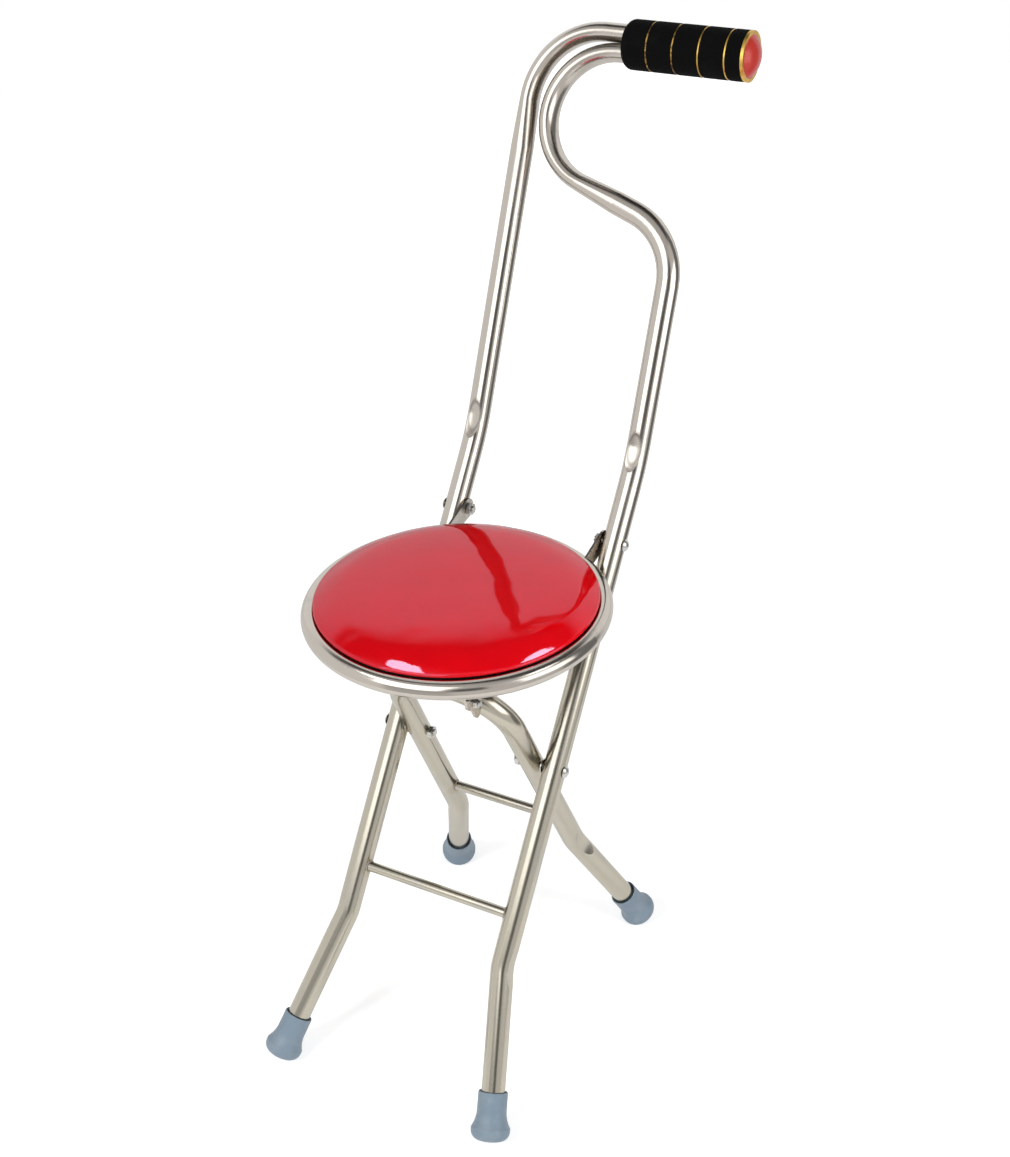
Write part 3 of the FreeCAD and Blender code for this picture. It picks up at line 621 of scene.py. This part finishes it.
def pad_outline():
    """Half section of the pad from the rim of its flat underside to its crest, as (radius, height)."""
    low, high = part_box("seat_cushion")
    widest = (high.x - low.x) / 2 - PAD_START_INSET
    base = low.z
    side = math.pi / 2
    outline = arc_points((widest - TUCK_ROUND, base + TUCK_ROUND), TUCK_ROUND, math.pi, side, PAD_TUCK_RINGS)
    edge = arc_points((widest - EDGE_ROUND, base + TUCK_ROUND), EDGE_ROUND, side, EDGE_SLOPE, PAD_EDGE_RINGS)
    outline += edge[1:]
    r, z = outline[-1]
    shoulder = (r - SHOULDER_RADIUS * math.sin(EDGE_SLOPE), z - SHOULDER_RADIUS * math.cos(EDGE_SLOPE))
    join = (shoulder[0] + SHOULDER_RADIUS * math.sin(CROWN_SLOPE),
            shoulder[1] + SHOULDER_RADIUS * math.cos(CROWN_SLOPE))
    crown = join[0] * math.tan(CROWN_SLOPE) / 3
    crest = join[1] + crown
    for i in range(1, PAD_TOP_RINGS):
        radius = r * (1 - i / PAD_TOP_RINGS)
        if radius > join[0]:
            height = shoulder[1] + math.sqrt(SHOULDER_RADIUS ** 2 - (radius - shoulder[0]) ** 2)
        else:
            height = crest - crown * (radius / join[0]) ** 3
        outline.append((radius, height))
    return outline, base, crest


def pad_mesh():
    """Closed round mesh of the pad, ring by ring from its underside to its crest."""
    outline, base, crest = pad_outline()
    flat_rings = [(outline[0][0] * share, base) for share in PAD_FLAT_SHARES]
    rings = flat_rings + outline
    made = bmesh.new()
    turns = [2 * math.pi * i / PAD_SPOKES for i in range(PAD_SPOKES)]
    rows = []
    for radius, height in rings:
        rows.append([made.verts.new((seat_centre.x + radius * math.cos(turn),
                                     seat_centre.y + radius * math.sin(turn), height)) for turn in turns])
    bottom = made.verts.new((seat_centre.x, seat_centre.y, base))
    top = made.verts.new((seat_centre.x, seat_centre.y, crest))
    for i in range(PAD_SPOKES):
        j = (i + 1) % PAD_SPOKES
        made.faces.new((bottom, rows[0][j], rows[0][i]))
        made.faces.new((top, rows[-1][i], rows[-1][j]))
        for lower, upper in zip(rows, rows[1:]):
            made.faces.new((lower[i], lower[j], upper[j], upper[i]))
    mesh = bpy.data.meshes.new("seat_pad")
    made.to_mesh(mesh)
    made.free()
    return mesh


def vertex_array(mesh):
    places = np.zeros(len(mesh.vertices) * 3)
    mesh.vertices.foreach_get("co", places)
    return places.reshape(-1, 3)


PAD_PRESSURE = 4.0
PAD_FRAMES = 20
PAD_STIFFNESS = 25.0
PAD_BENDING = 6.0
PAD_HELD_HEIGHT = 0.05 * MM
PAD_SWELL_LIMIT = 1.0 * MM
PAD_UNEVENNESS = 0.12
TINY = 1e-9


def even_out(move):
    """The same move all round each ring of the pad, with a little of the cloth's own unevenness left in."""
    count = (len(move) - 2) // PAD_SPOKES * PAD_SPOKES
    turns = np.arange(PAD_SPOKES) * 2 * math.pi / PAD_SPOKES
    out = np.stack([np.cos(turns), np.sin(turns)], axis=1)
    rings = move[:count].reshape(-1, PAD_SPOKES, 3)
    even = np.zeros_like(rings)
    outward = (rings[:, :, :2] * out).sum(axis=2).mean(axis=1)
    even[:, :, :2] = outward[:, None, None] * out
    even[:, :, 2] = rings[:, :, 2].mean(axis=1, keepdims=True)
    settled = even + (rings - even) * PAD_UNEVENNESS
    return np.concatenate([settled.reshape(-1, 3), move[count:]])


def swell(pad):
    """Inflates the pad as cloth with its underside held, and limits how far any point moves."""
    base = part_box("seat_cushion")[0].z
    start = vertex_array(pad.data)
    held = pad.vertex_groups.new(name="held")
    held.add([int(i) for i in np.flatnonzero(start[:, 2] < base + PAD_HELD_HEIGHT)], 1.0, "REPLACE")
    cloth = pad.modifiers.new("cloth", "CLOTH")
    settings = cloth.settings
    settings.use_pressure = True
    settings.uniform_pressure_force = PAD_PRESSURE
    settings.vertex_group_mass = "held"
    settings.effector_weights.gravity = 0.0
    settings.tension_stiffness = PAD_STIFFNESS
    settings.compression_stiffness = PAD_STIFFNESS
    settings.bending_stiffness = PAD_BENDING
    scene = bpy.context.scene
    for step in range(1, PAD_FRAMES + 1):
        scene.frame_set(step)
    evaluated = pad.evaluated_get(bpy.context.evaluated_depsgraph_get())
    swollen = vertex_array(evaluated.to_mesh())
    evaluated.to_mesh_clear()
    pad.modifiers.remove(cloth)
    pad.vertex_groups.remove(held)
    scene.frame_set(1)
    move = even_out(swollen - start)
    length = np.linalg.norm(move, axis=1, keepdims=True)
    limited = np.tanh(length / PAD_SWELL_LIMIT) * PAD_SWELL_LIMIT
    place = start + move * limited / np.maximum(length, TINY)
    pad.data.vertices.foreach_set("co", place.ravel())
    pad.data.update()


PUCKER_DEPTH = 0.05 * MM
PUCKER_SEED = 4
PUCKER_COUNTS = (23, 37, 41, 58, 71)
PUCKER_SIZES = (0.4, 1.0)
PUCKER_REACH = 16 * MM
PUCKER_FADE = 14 * MM
PUCKER_ABOVE = 0.2 * MM


def pucker(pad):
    """Faint uneven puckers where the cover is drawn over the edge of the foam."""
    rng = np.random.default_rng(PUCKER_SEED)
    waves = [(count, rng.uniform(0, 2 * math.pi), rng.uniform(*PUCKER_SIZES)) for count in PUCKER_COUNTS]
    place = vertex_array(pad.data)
    away = place - np.array(seat_centre)
    radius = np.hypot(away[:, 0], away[:, 1])
    turn = np.arctan2(away[:, 1], away[:, 0])
    ripple = sum(size * np.sin(count * turn + phase) for count, phase, size in waves) / len(waves)
    edge = radius.max()
    near_edge = np.clip((radius - (edge - PUCKER_REACH)) / PUCKER_FADE, 0, 1) ** 2
    above = place[:, 2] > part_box("seat_cushion")[0].z + PUCKER_ABOVE
    shift = PUCKER_DEPTH * ripple * near_edge * above
    place[:, 0] += shift * np.cos(turn)
    place[:, 1] += shift * np.sin(turn)
    place[:, 2] += shift
    pad.data.vertices.foreach_set("co", place.ravel())
    pad.data.update()


def seat_pad():
    """The padded seat: inflated as cloth, puckered at its edge, then smoothed by one subdivision."""
    pad = bpy.data.objects.new("seat_pad", pad_mesh())
    bpy.context.scene.collection.objects.link(pad)
    swell(pad)
    pucker(pad)
    for face in pad.data.polygons:
        face.use_smooth = True
    finer = pad.modifiers.new("finer", "SUBSURF")
    finer.levels = 1
    finer.render_levels = 1
    pad.data.materials.append(red_vinyl())
    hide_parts("seat_cushion")
    return add_piece(pad, "seat")


# Finishes of the carried-over nodes

KINK_ABOVE_SEAT_PIVOT = 70.5 * MM
DENT_ABOVE_KINK = 12 * MM
DENT_FROM_AXIS = 0.8 * TUBE_RADIUS
BOLT_HEAD = 3.05 * MM


def kink_dents():
    """Middles of the dents on the front of the long tubes, just above their upper bend."""
    upper_up = Vector((0, math.sin(UPPER_LEAN), math.cos(UPPER_LEAN)))
    forward = Vector((1, 0, 0)).cross(upper_up)
    middle_dent = seat_pivot + long_tube_up * KINK_ABOVE_SEAT_PIVOT + upper_up * DENT_ABOVE_KINK
    half_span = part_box("seat_pivot_bolts")[1].x - BOLT_HEAD - TUBE_RADIUS
    return [middle_dent + forward * DENT_FROM_AXIS + Vector((side * half_span, 0, 0)) for side in (-1, 1)]


def weld_points(welds):
    """Middles of a crossbar's welds, on the sides of its tubes."""
    return [point - Vector((side * TUBE_RADIUS, 0, 0)) for side, point, _ in welds]


def finish_nodes():
    """Gives every node that is kept its finish."""
    lower_lean = math.atan2(long_tube_up.y, long_tube_up.z)
    rear_lean = math.atan2(rear_leg_up.y, rear_leg_up.z)
    long_tubes = polished_steel("long_tube_steel", lower_lean, weld_points(front_welds), kink_dents())
    rear_tubes = polished_steel("rear_tube_steel", rear_lean, weld_points(rear_welds), [])
    finishes = {
        long_tubes: ("left_frame_tube", "right_frame_tube"),
        rear_tubes: ("rear_leg_frame",),
        crossbar_steel(): ("front_crossbar", "rear_crossbar"),
        seat_hoop_steel(): ("seat_ring",),
        flat_bar_steel(): ("seat_ear_left", "seat_ear_right", "seat_tabs", "catch_bracket", "catch_hook_left",
                           "catch_hook_right"),
        zinc_steel(): ("catch_bolts", "catch_nuts", "seat_screws", "seat_pivot_bolts", "seat_pivot_nuts",
                       "leg_pivot_bolts", "leg_pivot_nuts", "leg_pivot_washers"),
        grey_rubber(): ("front_left_foot", "front_right_foot", "rear_left_foot", "rear_right_foot"),
        gold_trim(): ("grip_gold_rings", "grip_end_ring"),
        board_paint(): ("seat_board",),
        black_foam(): ("handle_grip",),
        red_plastic(): ("grip_end_cap",),
    }
    for material, names in finishes.items():
        for name in names:
            nodes[name].data.materials[0] = material


# Studio

CAMERA_AZIMUTH = math.radians(29.76)
CAMERA_ELEVATION = math.radians(31.21)
CAMERA_ROLL = math.radians(-2.25)
CAMERA_EYE = Vector((0.6327, -1.1038, 1.1623))
CAMERA_LENS = 54.41
CAMERA_SENSOR = 36.0


def direction(azimuth, elevation):
    """Unit vector from the object; azimuth 0 is towards the front, 90 to the right, in radians."""
    flat = math.cos(elevation)
    return Vector((math.sin(azimuth) * flat, -math.cos(azimuth) * flat, math.sin(elevation)))


def add_camera():
    back = direction(CAMERA_AZIMUTH, CAMERA_ELEVATION)
    level = Vector((math.cos(CAMERA_AZIMUTH), math.sin(CAMERA_AZIMUTH), 0))
    upright = back.cross(level)
    right = level * math.cos(CAMERA_ROLL) + upright * math.sin(CAMERA_ROLL)
    up = upright * math.cos(CAMERA_ROLL) - level * math.sin(CAMERA_ROLL)
    lens = bpy.data.cameras.new("photo_camera")
    lens.lens = CAMERA_LENS
    lens.sensor_width = CAMERA_SENSOR
    camera = bpy.data.objects.new("photo_camera", lens)
    turn = Matrix((right, up, back)).transposed()
    camera.matrix_world = Matrix.Translation(CAMERA_EYE) @ turn.to_4x4()
    bpy.context.scene.collection.objects.link(camera)
    bpy.context.scene.camera = camera


SEAT_AIM = Vector((0.0, -0.05, 0.42))
TUBES_AIM = Vector((0.0, 0.11, 0.6))
# Lamps, as (name, azimuth, elevation, distance, size, watts) from what they are aimed at
KEYS = (("left_key", -20, 33, 2.4, (0.7, 0.9), 30.5),
        ("right_key", 80, 30, 2.4, (0.7, 0.9), 25.5))
CARDS = (("front_card", -5, 30, 1.4, (1.05, 1.1), 6.2),
         ("right_card", 83, 9, 1.1, (0.8, 0.66), 2.6))
PAD_LAMPS = (("pad_left", -60, 71, 2.4, (1.4, 0.5), 23.0),
             ("pad_right", 130, 62, 2.4, (1.1, 0.6), 22.0))
HOOP_LAMPS = (("hoop_left", -46, 50, 2.4, (0.9, 0.4), 3.4),
              ("hoop_right", 102, 50, 2.4, (0.9, 0.4), 3.4),
              ("hoop_back", -150, 57, 2.4, (1.5, 1.5), 3.5))


def add_lamp(aim, name, azimuth, elevation, distance, size, watts):
    """Rectangular lamp that is turned towards its aim and hidden from the camera."""
    light = bpy.data.lights.new(name, "AREA")
    light.shape = "RECTANGLE"
    light.size, light.size_y = size
    light.energy = watts
    lamp = bpy.data.objects.new(name, light)
    towards = direction(math.radians(azimuth), math.radians(elevation))
    lamp.matrix_world = Matrix.Translation(aim + towards * distance) \
        @ towards.to_track_quat("Z", "Y").to_matrix().to_4x4()
    lamp.visible_camera = False
    bpy.context.scene.collection.objects.link(lamp)
    return lamp


def add_lights(pad):
    """Two large keys beside the camera that light everything but are not mirrored, and lamps that are only
    mirrored: two cards near the tubes, and round lamps for the pad alone and for the hoop alone."""
    for row in KEYS:
        add_lamp(SEAT_AIM, *row).visible_glossy = False
    for row in CARDS:
        add_lamp(TUBES_AIM, *row).visible_diffuse = False
    for rows, receiver in ((PAD_LAMPS, pad), (HOOP_LAMPS, nodes["seat_ring"])):
        chosen = bpy.data.collections.new("lit_" + receiver.name)
        chosen.objects.link(receiver)
        for row in rows:
            lamp = add_lamp(SEAT_AIM, *row)
            lamp.visible_diffuse = False
            lamp.data.shape = "ELLIPSE"
            lamp.light_linking.receiver_collection = chosen


FLOOR_RADIUS = 3.2
FLOOR_SIDES = 96
GLOW_START = 0.2
GLOW_FULL = 2.2
GLOW_NEAR = 0.55
PAPER_LEVELS = (0.80, 0.83)
SHEET_GLOSS = 0.2
SHEET_EDGE = (0.75, 1.0)


def add_floor():
    """Round pale floor that glows a little, so that it melts into the white backdrop and keeps a shadow.
    What shines in the metal is only the sheet near the object, with the room beyond it."""
    made = bmesh.new()
    bmesh.ops.create_circle(made, cap_ends=True, segments=FLOOR_SIDES, radius=FLOOR_RADIUS)
    mesh = bpy.data.meshes.new("studio_floor")
    made.to_mesh(mesh)
    made.free()
    floor = bpy.data.objects.new("studio_floor", mesh)
    bpy.context.scene.collection.objects.link(floor)
    paper = Finish("studio_paper", Roughness=0.9, Emission_Strength=1.0, Specular_IOR_Level=0.1)
    fibre = paper.noise(300.0, detail=3.0)
    away = paper.distance_to((0, 0, 0))
    path = paper.tree.nodes.new("ShaderNodeLightPath")
    shows = Value(paper, path.outputs["Is Camera Ray"])
    shines = Value(paper, path.outputs["Is Glossy Ray"])
    glow = paper.mix(paper.smooth(away, GLOW_START, GLOW_FULL), grey(GLOW_NEAR), grey(1.0))
    paper.feed("Base Color", paper.mix(fibre, *map(grey, PAPER_LEVELS)))
    paper.feed("Emission Color", paper.mix(shows, grey(SHEET_GLOSS), glow))
    clear = paper.tree.nodes.new("ShaderNodeBsdfTransparent")
    mixed = paper.tree.nodes.new("ShaderNodeMixShader")
    paper.tree.links.new((shines * paper.smooth(away, *SHEET_EDGE)).socket, mixed.inputs[0])
    paper.tree.links.new(paper.shader.outputs[0], mixed.inputs[1])
    paper.tree.links.new(clear.outputs[0], mixed.inputs[2])
    paper.tree.links.new(mixed.outputs[0], paper.tree.nodes["Material Output"].inputs[0])
    mesh.materials.append(paper.material)


AMBIENT = 0.32
ROOM_SEAM = 110
# Patches of the room in degrees, as (turn from, turn to, elevation from, elevation to, brightness)
ROOM = (
    (-9, 89, -90, 41, 0.77),
    (89, 134, 3, 43, 0.4),
    (89, 134, -90, 3, 0.5),
    (134, 159, 9, 38, 0.11),
    (134, 159, -90, 9, 0.65),
    (159, 216, -90, 48, 0.6),
    (216, 253, -90, 48, 0.17),
    (253, 369, -90, 1, 0.75),
    (253, 369, 1, 42, 0.86),
)
ROOM_SOFT_TURN = 2.0
ROOM_SOFT_RISE = 5.0
CEILING_FRONT = 0.48
CEILING_BACK = 0.05
CEILING_SOFT = 0.12
SECOND_MIRROR = 0.25


def add_world():
    """White to the camera. What shines in the metal is a room of bright and dark patches under a dim ceiling,
    darker in a mirror seen in a mirror; everything else gets an even soft light. The room's turn is counted
    from its seam at the left, through the front, to the right and the back."""
    world = bpy.data.worlds.new("studio")
    world.use_nodes = True
    world.cycles.sampling_method = "NONE"
    bpy.context.scene.world = world
    tree = Tree(world.node_tree)
    tree.tree.nodes.clear()
    heading = tree.node("ShaderNodeTexCoord", out="Generated")
    x, y, z = (tree.node("ShaderNodeSeparateXYZ", None, {0: heading}, out=i) for i in range(3))
    degrees = 180 / math.pi
    azimuth = x.maths("ARCTAN2", x, -y) * degrees
    turn = x.maths("FLOORED_MODULO", azimuth + ROOM_SEAM, 360)
    elevation = x.maths("ARCSINE", z) * degrees
    room = tree.smooth(y, CEILING_SOFT, -CEILING_SOFT, CEILING_BACK, CEILING_FRONT)
    for start, end, low, high, level in ROOM:
        inside = tree.between(turn, start, end, ROOM_SOFT_TURN) \
            * tree.between(elevation, low, high, ROOM_SOFT_RISE)
        room = room + inside * (level - room)
    path = tree.tree.nodes.new("ShaderNodeLightPath")
    shows = Value(tree, path.outputs["Is Camera Ray"])
    shines = Value(tree, path.outputs["Is Glossy Ray"])
    mirrors = Value(tree, path.outputs["Glossy Depth"])
    room = room * tree.smooth(mirrors, 1.0, 2.0, 1.0, SECOND_MIRROR)
    level = room * shines + AMBIENT * (1 - shines)
    level = shows + level * (1 - shows)
    background = tree.node("ShaderNodeBackground", None, {"Color": grey(1.0), "Strength": level})
    output = tree.tree.nodes.new("ShaderNodeOutputWorld")
    tree.tree.links.new(background.socket, output.inputs[0])


def studio(pad):
    add_camera()
    add_world()
    add_floor()
    add_lights(pad)
    bpy.context.scene.view_settings.view_transform = "Standard"


finish_nodes()
weld_pieces()
studio(seat_pad())
